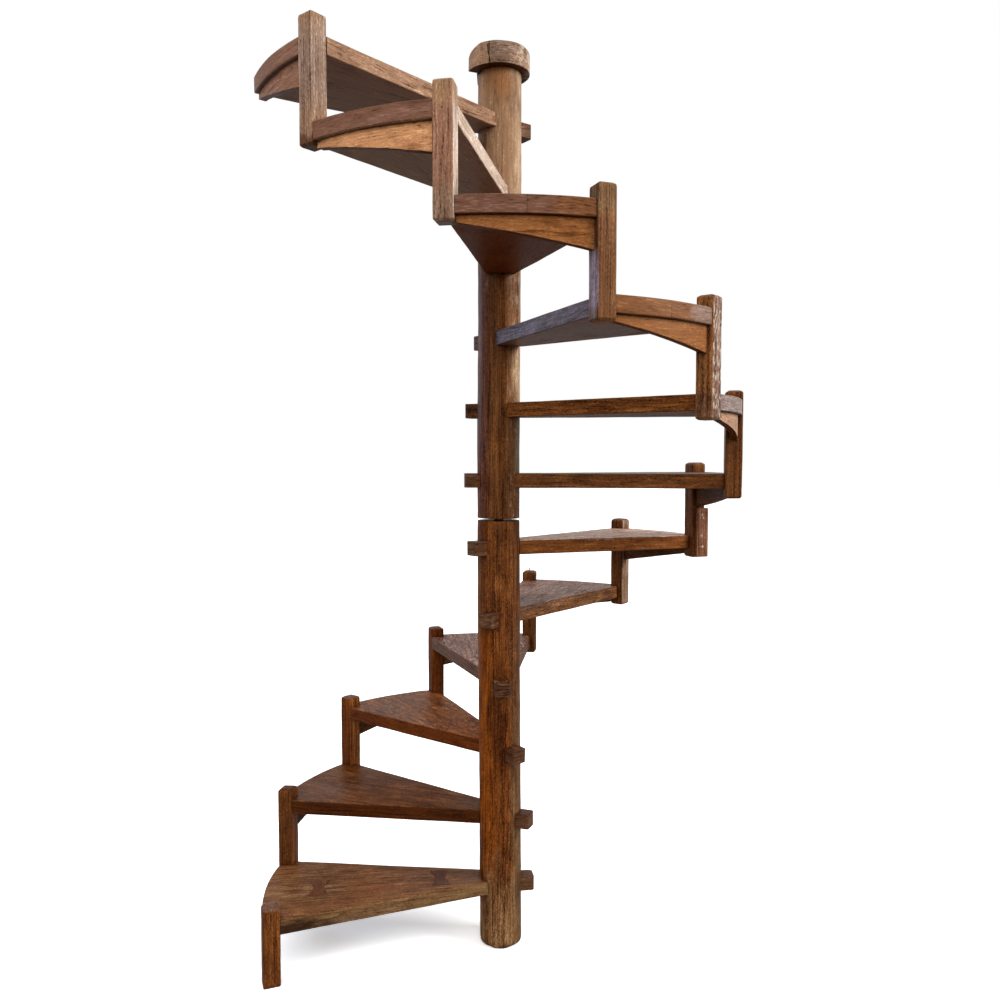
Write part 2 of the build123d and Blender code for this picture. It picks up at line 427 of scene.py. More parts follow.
# A wooden finish whose grain runs along X of a frame at origin, turned by Euler angles in degrees.
# faces gives outward directions, each with the colour of the sides that look that way and their share of
# the contrast.
def woodFinish(name, origin, turn, seed, faces=(), **changes):
    look = {**plainWood, **changes}
    material = bpy.data.materials.new(name)
    material.use_nodes = True
    surface = material.node_tree.nodes["Principled BSDF"].inputs
    coords = material.node_tree.nodes.new("ShaderNodeTexCoord").outputs
    spot, normal = coords["Object"], coords["Normal"]
    upwards = split(normal)[2]
    onPiece = placedIn(spot, origin, turn)
    onGrain = onPiece
    if look["sideRun"] < 1.0:
        across = softStep(calc("ABSOLUTE", upwards), 0.3, 0.7, look["sideRun"], 1.0)
        onGrain = scaled(onPiece, joined(1.0, across, 1.0))

    body, contrast = look["body"], look["contrast"]
    # The side colours carry painted light and shade as well as the wood's own colour
    for direction, tint, share in faces:
        seen = facing(normal, direction)
        body = blend(seen, body, tint)
        contrast = plus(times(seen, look["contrast"] * (share - 1.0)), contrast)
    for centre, spread, tint, amount in look["spots"]:
        mark = place(spotGroup, Vector=onPiece, Centre=centre, Spread=spread)["Mask"]
        body = blend(times(mark, amount), body, tint)

    boardSeed, joint = seed, 0.0
    for across, slant in look["seams"]:
        seam = place(seamGroup, Vector=onPiece, Across=across, Slant=slant)
        joint = highest(seam["Line"], joint)
        boardSeed = plus(times(seam["Side"], 1.7), boardSeed)

    pithSide, pithDepth = look["pith"]
    grain = place(grainGroup, Vector=onGrain, Seed=boardSeed, Wander=look["wander"], **{
        "Ring Width": look["ringWidth"], "Pith Side": pithSide, "Pith Depth": pithDepth})
    grainWay = Euler(turned(turn)).to_matrix() @ Vector((1, 0, 0))
    endGrain = calc("ABSOLUTE", vectorCalc("DOT_PRODUCT", normal, grainWay))
    contrast = times(softStep(endGrain, 0.6, 0.9, 1.0, look["endContrast"]), contrast)
    if look["calm"]:
        start, stop, left = look["calm"]
        contrast = times(contrast, softStep(split(onPiece)[0], start, stop, 1.0, left))
    colour = place(colourGroup, Tone=grain["Tone"], Pores=grain["Pores"], Contrast=contrast,
                   Body=body)["Color"]
    if look["crazed"]:
        area = times(softStep(upwards, 0.6, 0.9), softStep(noiseAt(onPiece, 6.0), 0.36, 0.6, 0.25, 1.0))
        colour = multiplied(times(grain["Islands"], area, look["islands"]), colour, bleached)
        colour = multiplied(times(grain["Crazing"], area, look["crazed"]), colour, crackled)

    def patchesOf(seedStep, size, cover):
        return place(patchGroup, Vector=onGrain, Seed=seed + seedStep, Size=size, Cover=cover)

    worn = patchesOf(0.0, look["patchSize"], look["bleachCover"])
    dim = patchesOf(11.0, look["patchSize"] * 1.3, look["stainCover"])
    knocks = place(knockGroup, Vector=onGrain, Seed=seed, Dents=look["dents"],
                   Scratches=look["scratches"], Worm=look["worm"])
    arris = place(edgeGroup, Vector=spot, Width=look["edgeWidth"], Amount=look["edgeAmount"])
    colour = multiplied(times(worn["Mask"], look["bleachAmount"]), colour, bleached)
    colour = multiplied(times(dim["Mask"], look["stainAmount"]), colour, stained)
    colour = multiplied(arris["Pale"], colour, rubbed)
    colour = multiplied(times(arris["Dark"], look["edgeDark"]), colour, grimy)
    colour = multiplied(times(knocks["Pale"], look["paleAmount"]), colour, bruised)
    if look["flakes"]:
        towards, cover, amount, size = look["flakes"]
        scales = patchesOf(23.0, size, cover)["Mask"]
        colour = blend(times(scales, facing(normal, towards), amount), colour, chalky)

    cracks = place(checkGroup, Vector=onGrain, Seed=seed, Spacing=look["checkSpacing"], Amount=look["checks"])
    dark = highest(cracks["Mask"], knocks["Holes"])
    if look["seams"]:
        dark = highest(dark, times(joint, 0.75))
    for foot, way, slant, width in look["fissures"]:  # open on the near side of their point only
        onCrack = placedIn(spot, foot, (0.0, -90, way))
        shaken = moved(onCrack, joined(0.0, times(swayAt(spot, 60.0, 3.0), 0.006), 0.0))
        opened = place(seamGroup, Vector=shaken, Slant=slant, Width=width)["Line"]
        dark = highest(dark, times(opened, calc("LESS_THAN", split(onCrack)[2], 0.0)))
    # Painted shade in corners and between parts, with dust, darkened together with the cracks and holes
    corners = place(cornerGroup, Vector=spot, Reach=look["cornerReach"], Amount=look["cornerAmount"])["Mask"]
    wire(multiplied(highest(dark, corners), colour, dirtAndShade), surface["Base Color"])

    smooth, dull = look["roughness"]
    rough = plus(times(worn["Fine"], 0.16), smooth - 0.08)
    rough = plus(rough, times(highest(worn["Mask"], arris["Pale"]), dull - smooth))
    wire(plus(rough, times(grain["Pores"], 0.12)), surface["Roughness"])
    surface["Specular IOR Level"].default_value = look["specular"]
    surface["Specular Tint"].default_value = look["specularTint"]

    relief = plus(times(grain["Height"], 0.5), times(knocks["Height"], 1.2))
    relief = minus(relief, times(dark, 1.5))
    bump = {"Height": relief, "Strength": look["bump"], "Distance": look["bumpDepth"]}
    wire(addNode("ShaderNodeBump", bump).outputs[0], surface["Normal"])
    return material


# How much each kind of piece departs from a true machined form, in metres: the spacing of the cuts that
# give it points to move, the sway of its long faces, the chips on its edges and the width of its arrises
handwork = {
    "tread": {"along": 0.016, "sway": 0.0007, "swaySize": 7.0, "chips": 0.0016, "bevel": 0.0014,
              "across": 0.045},
    "post": {"along": 0.012, "sway": 0.0008, "swaySize": 9.0, "chips": 0.0018, "bevel": 0.0014,
             "head": 0.0095},
    "cleat": {"along": 0.012, "sway": 0.0006, "swaySize": 9.0, "chips": 0.0014, "bevel": 0.0014},
    "apron": {"along": 0.012, "sway": 0.0005, "swaySize": 8.0, "chips": 0.0012, "bevel": 0.0012},
    "newel": {"along": 0.022, "sway": 0.0017, "swaySize": 5.0, "chips": 0.0012, "bevel": 0.0012},
    "cap": {"along": 0.008, "sway": 0.0014, "swaySize": 14.0, "chips": 0.003, "bevel": 0.0016,
            "across": 0.02},
    "key": {"along": 0.012, "sway": 0.0001, "swaySize": 9.0, "chips": 0.0002, "bevel": 0.0004},
}
arrisAngle, flatAngle, smoothAngle = 30, 0.6, 42


def cutAt(form, point, way, **settings):
    parts = [*form.verts, *form.edges, *form.faces]
    return bmesh.ops.bisect_plane(form, geom=parts, dist=1e-6, plane_co=point, plane_no=way, **settings)


# Planes square to a direction, evenly spaced from one end of the form to the other, cut it into strips
def cutThrough(form, spacing, way):
    reach = [vert.co.dot(way) for vert in form.verts]
    low, high = min(reach), max(reach)
    count = max(1, round((high - low) / spacing))
    for index in range(1, count):
        cutAt(form, way * (low + (high - low) * index / count), way)


# The top of an upright stick rounded over, its upper corners drawn in
def domed(form, depth):
    top = max(vert.co.z for vert in form.verts)
    centre = sum((vert.co for vert in form.verts), Vector()) / len(form.verts)
    for fall in (0.15, 0.4, 0.7, 1.15):
        cutAt(form, upright * (top - depth * fall), upright)
    shoulder = depth * 1.2
    for vert in form.verts:
        rise = (vert.co.z - (top - shoulder)) / shoulder
        if rise > 0.0:
            outwards = Vector((*(vert.co - centre).xy, 0.0))
            drawnIn = depth * (1.0 - math.sqrt(max(0.0, 1.0 - rise ** 2))) * 0.75
            vert.co -= outwards.normalized() * min(outwards.length * 0.5, drawnIn)


# The foot of a trunk that stood on damp ground: its corner gone, unevenly
wornFoot = {"depth": 0.018, "core": 0.05, "raggedSize": 30.0}


def wearFoot(form):
    depth = wornFoot["depth"]
    for height in (0.3, 0.65, 1.0):
        cutAt(form, upright * depth * height, upright)
    for vert in form.verts:
        drop = 1.0 - vert.co.z / depth
        if drop > 0.0 and vert.co.xy.length > wornFoot["core"]:
            ragged = 0.55 + 0.9 * noise.noise(Vector((*(vert.co.xy * wornFoot["raggedSize"]), 4.0)))
            vert.co.xy = vert.co.xy * (1.0 - 0.1 * drop ** 2 * ragged)
            vert.co.z += max(0.0, ragged - 0.5) * depth * 0.35 * drop


# Each butterfly key drawn out along the tread, and its top left a little proud of the board
drawnKey = {"widen": 1.36, "proud": 0.0009}


def drawOutKeys(form):
    outwards = Vector(heading(bearing(1)))
    top = max(vert.co.z for vert in form.verts)
    reaches = [vert.co.dot(outwards) for vert in form.verts]
    middle = (min(reaches) + max(reaches)) / 2
    for side in (-1, 1):
        own = [(vert, reach) for vert, reach in zip(form.verts, reaches) if (reach - middle) * side > 0]
        centre = (min(reach for vert, reach in own) + max(reach for vert, reach in own)) / 2
        for vert, reach in own:
            vert.co += outwards * (reach - centre) * (drawnKey["widen"] - 1.0)
            if vert.co.z > top - 0.002:
                vert.co.z += drawnKey["proud"]


# The lower treads have tipped up towards the newel, which leans a little at its foot and at its top
settling = {
    "rise": {1: 0.012, 2: 0.013, 3: 0.013, 4: 0.009, 5: 0.005, 6: 0.007},
    "plateau": 0.16,  # the part of each storey, at either end, that moves with one tread alone
    "leanBelow": 1.35, "lean": 0.008,
    "leanAbove": 1.5, "leanFull": 2.4, "upperLean": 0.0045,
    "gapAt": 1.353, "gapDrop": 0.0075, "gapReach": 0.07,  # the two lengths of the newel meet a little lower
}


def clamped(value):
    return max(0.0, min(1.0, value))


def settled(point):
    x, y, z = point
    # The level is 1 at the middle of the first tread and 2 at that of the second
    level = (z + stair["thickness"] / 2 - treadTops[1]) / stair["rise"] + 1.0
    lift = 0.0
    for step, rise in settling["rise"].items():
        weight = clamped((1.0 - settling["plateau"] - abs(level - step)) / (1.0 - 2.0 * settling["plateau"]))
        lift += weight * rise * (1.0 - Vector(heading(bearing(step))).dot((x, y, 0.0)) / stair["rim"])
    climbed = (z - settling["leanAbove"]) / (settling["leanFull"] - settling["leanAbove"])
    lean = settling["lean"] * max(0.0, 1.0 - z / settling["leanBelow"])
    lean += settling["upperLean"] * clamped(climbed)
    fade = max(0.0, 1.0 - math.hypot(x, y) / stair["rim"])
    return Vector((x + lean * fade, y, z + lift))


# The rear corner of the last tread and its apron is cut back by a turn round the newel, out of its rear half
cutBack = {"step": 12, "turn": 4.2, "half": 15.3}


def shortened(point):
    radial = math.hypot(point.x, point.y)
    here = math.degrees(math.atan2(point.y, point.x))
    behind = (bearing(cutBack["step"]) - here + 180.0) % 360.0 - 180.0
    share = clamped(behind / cutBack["half"]) * min(1.0, radial / stair["rim"]) ** 2
    return Matrix.Rotation(math.radians(cutBack["turn"] * share), 3, "Z") @ point


# Some treads run wider than the plain wedge where their front side meets the newel: how far, and how far that
# side tips up
flares = {1: (0.018, 0.007), 10: (0.009, 0.0), 11: (0.013, 0.0), 12: (0.014, 0.0)}
flareFrom, flareReach = 0.02, 0.62


def flared(point, step):
    wide, tip = flares[step]
    outwards, across = Vector(heading(bearing(step))), Vector(heading(bearing(step) + 90))
    x, y = point.dot(outwards), point.dot(across)
    if x < flareFrom or x > flareReach or y <= 0.0:
        return point
    side = math.radians(stair["sideAngle"])
    flank = x * math.tan(side) + stair["frontOffset"] / math.cos(side)
    share = min(1.0, y / flank) * (1.0 - x / flareReach)
    reach, slide = math.hypot(x, y), 0.0
    if reach < stair["newel"] + 0.002:  # what touches the newel slides round it
        slide = math.sqrt(max(0.0, reach ** 2 - (y + wide * share) ** 2)) - x
    return point + outwards * slide + across * wide * share + upright * tip * share


# How far a point stands off the plain face: a slow sway, and chips where the form turns
def unevenness(vert, work, shift):
    at = vert.co * work["swaySize"]
    bend = (noise.noise(at + shift) + noise.noise(at * 3.1 + shift) * 0.5) * work["sway"]
    turn = max((face.normal.angle(vert.normal, 0.0) for face in vert.link_faces), default=0.0)
    if turn > 0.2:
        chip = max(0.0, noise.noise(vert.co * 31.0 + shift) - 0.08) * 2.2
        bend -= min(1.0, chip * chip * 3.0) * work["chips"]
    return vert.normal * bend


# A hand-worked copy of a solid: arrises eased, long faces a little uneven, edges chipped
def dress(nodeName, kind, along, material, seed, cuts=()):
    work = handwork[kind]
    form = bmesh.new()
    form.from_mesh(nodes[nodeName].data)
    bmesh.ops.remove_doubles(form, verts=form.verts, dist=2e-6)
    bmesh.ops.dissolve_limit(form, angle_limit=math.radians(flatAngle), verts=form.verts, edges=form.edges)
    sharp = [edge for edge in form.edges
             if len(edge.link_faces) == 2 and edge.calc_face_angle(0.0) > math.radians(arrisAngle)]
    bmesh.ops.bevel(form, geom=sharp, offset=work["bevel"], offset_type="OFFSET",
                    segments=2, profile=0.5, affect="EDGES", clamp_overlap=True)
    for point, way in cuts:
        cut = cutAt(form, point, way, clear_outer=True)["geom_cut"]
        bmesh.ops.holes_fill(form, edges=[part for part in cut if isinstance(part, bmesh.types.BMEdge)])
    cutThrough(form, work["along"], along)
    if "across" in work:
        cutThrough(form, work["across"], upright.cross(along) if abs(along.z) < 0.5 else Vector((1, 0, 0)))
    if "head" in work:
        domed(form, work["head"])
    if nodeName == "newel_lower":
        wearFoot(form)
    form.normal_update()
    shift = Vector((seed * 1.7, seed * 0.9, seed * 2.3))
    moves = [unevenness(vert, work, shift) for vert in form.verts]
    if kind == "key":
        drawOutKeys(form)
    step = int(nodeName[-2:]) if kind == "tread" else 1 if kind == "key" else 0
    for vert, move in zip(form.verts, moves):
        vert.co += move
        if step in flares:
            vert.co = flared(vert.co, step)
        if nodeName in {"tread_12", "apron_12"}:
            vert.co = shortened(vert.co)
        if kind == "newel":
            nearGap = max(0.0, 1.0 - abs(vert.co.z - settling["gapAt"]) / settling["gapReach"])
            vert.co.z -= settling["gapDrop"] * nearGap
        if kind != "cap":
            vert.co = settled(vert.co)
        vert.co = Vector(max(low, min(high, value)) for value, low, high in zip(vert.co, cadLow, cadHigh))
    mesh = bpy.data.meshes.new(nodeName)
    form.to_mesh(mesh)
    form.free()
    mesh.shade_smooth()
    mesh.set_sharp_from_angle(angle=math.radians(smoothAngle))
    mesh.materials.append(material)
    piece = bpy.data.objects.new(nodeName + "_worked", mesh)
    scene.collection.objects.link(piece)
    even = piece.modifiers.new("evenNormals", "WEIGHTED_NORMAL")
    even.keep_sharp = True
    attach(piece, "root")
    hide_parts(nodeName)
    return piece


# The ways that the sides of a step's pieces look. The stair goes up from front to rear.
def sideWays(step):
    tread = bearing(step)
    post = tread + stair["sideAngle"]
    return {
        "top": (0, 0, 1), "under": (0, 0, -1), "nose": heading(tread), "front": heading(post + 90),
        "rear": heading(tread - 90 - stair["sideAngle"]),
        "outer": heading(post), "inner": heading(post + 180), "aft": heading(post - 90),
    }


# Tones name an oak colour, how strong it is and, where that differs, the side's share of the contrast
def faceTones(step, tones):
    ways = sideWays(step)
    return [(ways[side], tone(*given[:2]), given[2] if len(given) > 2 else 1.0)
            for side, given in tones.items() if side != "body"]


# Treads

treadLook = {
    "body": tone("brown", 0.8), "ringWidth": 0.011, "wander": 0.05, "sideRun": 0.12, "contrast": 1.0,
    "edgeAmount": 0.8, "cornerAmount": 0.95, "dents": 0.7, "scratches": 0.7, "roughness": (0.4, 0.6),
    "patchSize": 7.0,
}
boardJoint = -0.018  # where the joint between a tread's two boards runs, across it
treadChanges = {
    1: {"contrast": 0.8, "seams": [(boardJoint, 0.032)]},
    2: {"contrast": 0.95, "crazed": 0.5, "islands": 0.2},
    3: {"crazed": 0.95, "islands": 0.5},
    4: {"crazed": 1.0, "islands": 0.75},
    5: {"crazed": 0.9, "islands": 0.7, "bleachAmount": 0.8, "stainAmount": 0.8},
    6: {"crazed": 0.4, "islands": 0.4, "bleachAmount": 0.8},
    8: {"specular": 0.06},
    9: {"specular": 0.08, "seams": [(boardJoint, 0.0)]},
    10: {"specular": 0.04, "seams": [(boardJoint, 0.0)]},
    11: {"specular": 0.05},
    12: {"specular": 0.06},
}
# Sides of the treads tinted by the way they face: partly the finish's own colour, partly painted light and
# shade; the darker undersides are partly painted shade
plainTread = {"top": ("worn", 0.9), "front": ("brown", 1.0), "nose": ("umber", 1.0),
              "under": ("red", 1.0, 0.5), "rear": ("red", 1.0)}
treadTones = {
    1: {"top": ("brown", 1.25), "front": ("olive", 0.9, 0.75), "nose": ("umber", 0.9)},
    2: {"top": ("red", 1.0), "front": ("deep", 0.66, 0.7), "nose": ("umber", 1.05)},
    3: {"top": ("red", 1.65), "front": ("deep", 1.25, 0.65), "nose": ("umber", 1.05)},
    # The paler tops of treads 4 to 6 are partly painted sheen
    4: {"top": ("worn", 0.98), "front": ("umber", 0.85, 0.7), "rear": ("red", 1.1)},
    5: {"top": ("worn", 1.08), "front": ("olive", 0.7, 0.5), "rear": ("brown", 1.25)},
    6: {"top": ("bare", 1.05), "front": ("red", 1.1, 0.55), "nose": ("umber", 1.1),
        "rear": ("red", 1.2, 0.7)},
    7: {"top": ("brown", 0.7), "front": ("red", 1.0, 0.8), "nose": ("umber", 1.2, 0.7),
        "under": ("orange", 0.8, 0.5), "rear": ("red", 0.97, 0.8)},
    8: {"top": ("worn", 1.0), "front": ("red", 1.0), "nose": ("grey", 1.05, 0.7),
        "under": ("brown", 1.25, 0.5), "rear": ("red", 1.15, 0.9)},
    # Tread 9's rear side: painted lilac sheen
    9: {"nose": ("brown", 1.3, 0.6), "under": ("umber", 1.3, 0.5), "rear": ("lilacSheen", 0.6, 0.9)},
    10: {"nose": ("umber", 1.2, 0.7), "under": ("deep", 1.8, 0.4), "rear": ("umber", 1.0, 0.7)},
    # The pale front of tread 11 is partly painted light
    11: {"front": ("pale", 1.22, 0.5), "nose": ("umber", 1.48, 0.6), "under": ("tan", 1.03, 0.35),
         "rear": ("brown", 1.0)},
    12: {"top": ("tan", 0.9), "front": ("tan", 1.17, 0.6), "nose": ("worn", 0.74, 0.5),
         "under": ("tan", 0.95, 0.35), "rear": ("brown", 1.1)},
}
# Old marks and a painted sheen, each a centre and a spread along, across and up the board, then a colour and
# how far it covers
treadMarks = {
    1: [((0.62, 0.19, -0.03), (0.14, 0.06, 0.028), (0.018, 0.006, 0.003), 0.9),
        ((0.45, 0.19, -0.03), (0.14, 0.06, 0.02), tone("umber", 0.5), 0.5),
        ((0.6, 0.0, 0.0), (0.14, 0.12, 0.01), tone("olive"), 0.5),
        ((0.3, 0.16, -0.02), (0.2, 0.05, 0.02), tone("tan", 0.85), 0.6),
        ((0.2, 0.0, 0.0), (0.12, 0.05, 0.01), tone("deep", 0.9), 0.55),
        ((0.57, -0.05, 0.0), (0.1, 0.05, 0.01), tone("deep", 0.9), 0.4),
        ((0.36, 0.03, 0.0), (0.1, 0.05, 0.01), (0.2, 0.06, 0.02), 0.5)],
    2: [((0.39, -0.058, 0.0), (0.09, 0.03, 0.01), (0.27, 0.09, 0.025), 0.7),
        # A greyish patch on the top: painted sheen
        ((0.57, 0.04, 0.0), (0.1, 0.06, 0.01), (0.15, 0.07, 0.045), 0.3)],
    3: [((0.58, 0.07, 0.0), (0.09, 0.04, 0.01), (0.2, 0.085, 0.04), 0.6)],
    4: [((0.51, 0.08, 0.0), (0.1, 0.05, 0.01), (0.15, 0.06, 0.03), 0.6)],
    5: [((0.1, 0.0, 0.0), (0.26, 0.16, 0.02), tone("umber", 0.75), 0.75),
        ((0.45, 0.0, 0.0), (0.1, 0.07, 0.01), tone("bare", 0.75), 0.6)],
    6: [((0.42, -0.08, 0.0), (0.14, 0.05, 0.01), (0.55, 0.36, 0.27), 0.5)],
    9: [((0.72, 0.11, -0.02), (0.06, 0.06, 0.04), tone("grey", 1.2), 0.6)],
    10: [((0.71, 0.13, -0.02), (0.08, 0.1, 0.04), tone("brown", 1.25), 0.8)],
}
tenonGrime = ((-0.13, 0.0, -0.02), (0.085, 0.1, 0.1), (0.078, 0.032, 0.015), 0.9)
for step in range(1, stair["steps"] + 1):
    name = f"tread_{step:02d}"
    look = {**treadLook, **treadChanges.get(step, {})}
    finish = woodFinish(
        f"treadWood{step:02d}", (0, 0, treadTops[step]), (0, 0, bearing(step)), step * 1.0,
        faceTones(step, {**plainTread, **treadTones[step]}),
        spots=[*treadMarks.get(step, []), tenonGrime], **look)
    piece = dress(name, "tread", Vector(heading(bearing(step))), finish, step)
print("treads worked")

# Posts

postLook = {"ringWidth": 0.007, "wander": 0.012, "pith": (0.03, 0.03), "edgeAmount": 0.75}
postChanges = {
    9: {"flakes": (sideWays(9)["outer"], 0.52, 0.8, 55.0)},
    10: {"contrast": 0.7},
    11: {"contrast": 0.66, "wander": 0.03, "ringWidth": 0.01, "pith": (0.0, 0.05),
         "flakes": (sideWays(11)["front"], 0.55, 0.5, 12.0)},
    12: {"contrast": 0.66},
}
# Sides of the posts tinted by the way they face: partly the wood's own colour, partly painted light and shade
postTones = {
    1: {"body": ("red", 1.08), "top": ("umber", 1.05)},
    2: {"body": ("red", 0.66), "inner": ("red", 1.45), "top": ("deep", 1.1)},
    3: {"body": ("deep", 1.12), "inner": ("red", 1.7), "top": ("umber", 1.0)},
    4: {"body": ("deep", 1.1), "top": ("umber", 1.0)},
    5: {"body": ("red", 0.9), "top": ("umber", 1.0)},
    6: {"body": ("red", 0.85), "aft": ("tan", 0.85), "top": ("umber", 1.1)},
    7: {"body": ("red", 0.95), "top": ("umber", 1.1)},
    8: {"body": ("red", 0.88), "top": ("umber", 1.1)},
    9: {"body": ("orange", 0.85), "outer": ("umber", 1.1), "top": ("umber", 1.2)},
    10: {"body": ("brown", 0.95), "aft": ("brown", 0.6), "under": ("orange", 0.8), "top": ("umber", 1.2)},
    11: {"body": ("worn", 1.0), "front": ("pale", 1.3), "top": ("worn", 1.0)},
    12: {"body": ("tan", 1.12), "front": ("tan", 0.92), "top": ("tan", 1.0)},
}
postMarks = {  # as for the treads, with the centre measured up the post, then across its two sides
    9: [((0.03, 0.0, 0.0), (0.05, 0.1, 0.1), tone("umber", 0.8), 0.6),
        ((0.2, 0.0, 0.03), (0.12, 0.1, 0.012), (0.1, 0.025, 0.004), 0.6)],
    # The lower aft side: painted lilac glint
    10: [((0.1, -0.03, 0.0), (0.1, 0.012, 0.04), tone("lilacSheen", 1.45), 1.0),
         ((0.29, 0.0, 0.0), (0.05, 0.1, 0.1), tone("olive", 0.75), 0.7)],
    11: [((0.03, 0.0, 0.0), (0.06, 0.1, 0.1), (0.19, 0.125, 0.08), 0.6),
         ((0.33, 0.0, 0.0), (0.09, 0.1, 0.1), (0.33, 0.175, 0.09), 0.85)],
    12: [((0.0, 0.0, 0.0), (0.03, 0.1, 0.1), tone("deep", 0.8), 0.8),
         ((0.33, 0.0, 0.0), (0.1, 0.1, 0.1), (0.29, 0.15, 0.068), 0.6),
         ((0.2, 0.0, 0.0), (0.12, 0.1, 0.1), tone("grey", 1.1), 0.4)],
}
for step in range(1, stair["steps"] + 1):
    name = f"post_{step:02d}"
    low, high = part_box(name)
    middle = (low + high) / 2
    finish = woodFinish(
        f"postWood{step:02d}", (middle.x, middle.y, low.z), (0, -90, bearing(step) + stair["sideAngle"]),
        20 + step * 1.3, faceTones(step, postTones[step]), body=tone(*postTones[step]["body"]),
        spots=postMarks.get(step, []), **{**postLook, **postChanges.get(step, {})})
    piece = dress(name, "post", upright, finish, 20 + step)
print("posts worked")

# Aprons

apronLook = {"ringWidth": 0.006, "contrast": 0.46, "specular": 0.06, "cornerAmount": 0.6}
# Apron 11's very pale tone is partly painted light, lifting a face that the tread above shades
apronTones = {7: ("orange", 0.9), 8: ("tan", 1.45), 9: ("orange", 0.98), 10: ("orange", 1.05),
              11: ("apricot", 2.0), 12: ("worn", 0.95)}
for step in range(2, stair["steps"] + 1):
    name = f"apron_{step:02d}"
    low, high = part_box(name)
    middle = (low + high) / 2
    # The back and underside of each apron darker: partly the wood's colour, partly painted shade under the
    # tread
    backs = [(heading(bearing(step) + 180), tone("brown", 0.85), 1.3), ((0, 0, -1), tone("deep", 1.3), 1.6)]
    finish = woodFinish(
        f"apronWood{step:02d}", (middle.x, middle.y, high.z), (0, 0, bearing(step) + 90), 40 + step * 1.1,
        backs, body=tone(*apronTones.get(step, ("red",))), **apronLook)
    piece = dress(name, "apron", Vector(heading(bearing(step) + 90)), finish, 40 + step)
print("aprons worked")

# Newel, cap, dowel, cleat and keys. Marks on the newel are measured up from the floor, then across it.

newelLook = {"pith": (0.0, 0.0), "ringWidth": 0.007, "contrast": 0.9, "patchSize": 3.5, "worm": 0.6,
             "wander": 0.012}
trunk = ((0, 0, 0), (0, -90, 0))
toRight, toLeft = (0.95, -0.3, 0.0), (-0.85, -0.5, 0.0)
lowerFinish = woodFinish(
    "lowerNewelWood", *trunk, 61.0,
    # Both sides a little lighter than the front, by the way they face: painted light
    [(toRight, (0.112, 0.039, 0.011), 0.9), (toLeft, (0.15, 0.035, 0.003), 1.1)],
    body=(0.126, 0.0335, 0.006), checks=0.55,
    spots=[((0.0, 0.0, 0.0), (0.3, 0.2, 0.2), tone("olive", 1.1), 0.75),
           ((0.34, -0.02, 0.06), (0.1, 0.025, 0.04), tone("deep", 0.6), 0.8),
           ((0.72, -0.06, 0.0), (0.12, 0.04, 0.04), tone("deep", 0.7), 0.7),
           ((0.3, 0.0, 0.07), (0.35, 0.05, 0.03), tone("amber", 0.9), 0.6),
           ((0.45, -0.03, -0.055), (0.4, 0.05, 0.03), (0.125, 0.06, 0.024), 0.7),
           ((1.1, -0.06, 0.026), (0.07, 0.035, 0.028), tone("deep", 0.75), 0.75),
           ((0.89, -0.065, -0.004), (0.09, 0.035, 0.028), tone("deep", 0.75), 0.7),
           ((1.2, 0.0, 0.0), (0.2, 0.2, 0.2), tone("red"), 0.7)], **newelLook)
piece = dress("newel_lower", "newel", upright, lowerFinish, 61)
upperFinish = woodFinish(
    "upperNewelWood", *trunk, 67.0,
    # The right side lighter as painted light, the left side darker as painted shade
    [((0.9, -0.43, 0.0), tone("brown", 1.2), 0.9), ((-0.95, -0.3, 0.0), (0.09, 0.027, 0.014), 1.1)],
    body=tone("red", 0.8), checks=0.4,
    # Pale patches on the right rim: partly painted highlight
    spots=[((1.77, -0.03, -0.072), (0.17, 0.06, 0.034), (0.42, 0.26, 0.14), 0.9),
           ((1.55, -0.03, -0.072), (0.12, 0.05, 0.026), (0.24, 0.17, 0.1), 0.8),
           ((2.7, 0.0, 0.0), (0.58, 0.3, 0.3), (0.24, 0.13, 0.067), 0.95),
           ((2.6, -0.03, 0.062), (0.2, 0.06, 0.03), tone("tan", 1.25), 0.7),
           # A long pale strip down the right rim: painted highlight
           ((2.45, -0.03, -0.066), (0.45, 0.05, 0.02), (0.42, 0.26, 0.15), 0.75),
           ((2.67, -0.066, 0.0), (0.07, 0.04, 0.045), tone("orange", 0.85), 0.7),
           # A dark patch on the left side below tread 12: painted shadow
           ((2.45, -0.045, 0.055), (0.075, 0.035, 0.022), tone("deep", 0.7), 0.9)],
    flakes=(toRight, 0.42, 0.3, 30.0), calm=(2.0, 2.3, 0.5), **newelLook)
piece = dress("newel_upper", "newel", upright, upperFinish, 67)
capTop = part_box("newel_cap")[1].z
capBevel = (Vector((-0.058, 0.0, capTop)), Vector((*(Vector(heading(187)).xy * 0.56), 0.828)))
capFinish = woodFinish(
    "capWood", (0, 0, 0), (0, 0, 12), 71.0,
    # The right side lighter as painted light and the underside dark as painted shade; the left side tan
    [((-0.85, -0.5, 0.1), (0.27, 0.153, 0.088), 0.8), (toRight, tone("tan", 0.9), 1.2),
     ((0, 0, -1), tone("deep", 0.9), 0.8)],
    body=(0.15, 0.088, 0.056), wander=0.03, ringWidth=0.006, contrast=0.65, patchSize=14.0,
    bleachAmount=0.6, bleachCover=0.5, flakes=((0.9, -0.43, 0.0), 0.5, 0.7, 24.0),
    spots=[((0.088, -0.03, capTop - 0.04), (0.02, 0.05, 0.035), tone("pale", 0.95), 0.8)],
    fissures=[((-0.028, -0.09, capTop - 0.045), 253, -0.16, 0.0022)])
piece = dress("newel_cap", "cap", upright, capFinish, 71, [capBevel])
piece = dress("newel_dowel", "newel", upright, woodFinish("dowelWood", *trunk, 73.0, pith=(0.0, 0.0)), 73)
low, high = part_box("post_cleat")
middle = (low + high) / 2
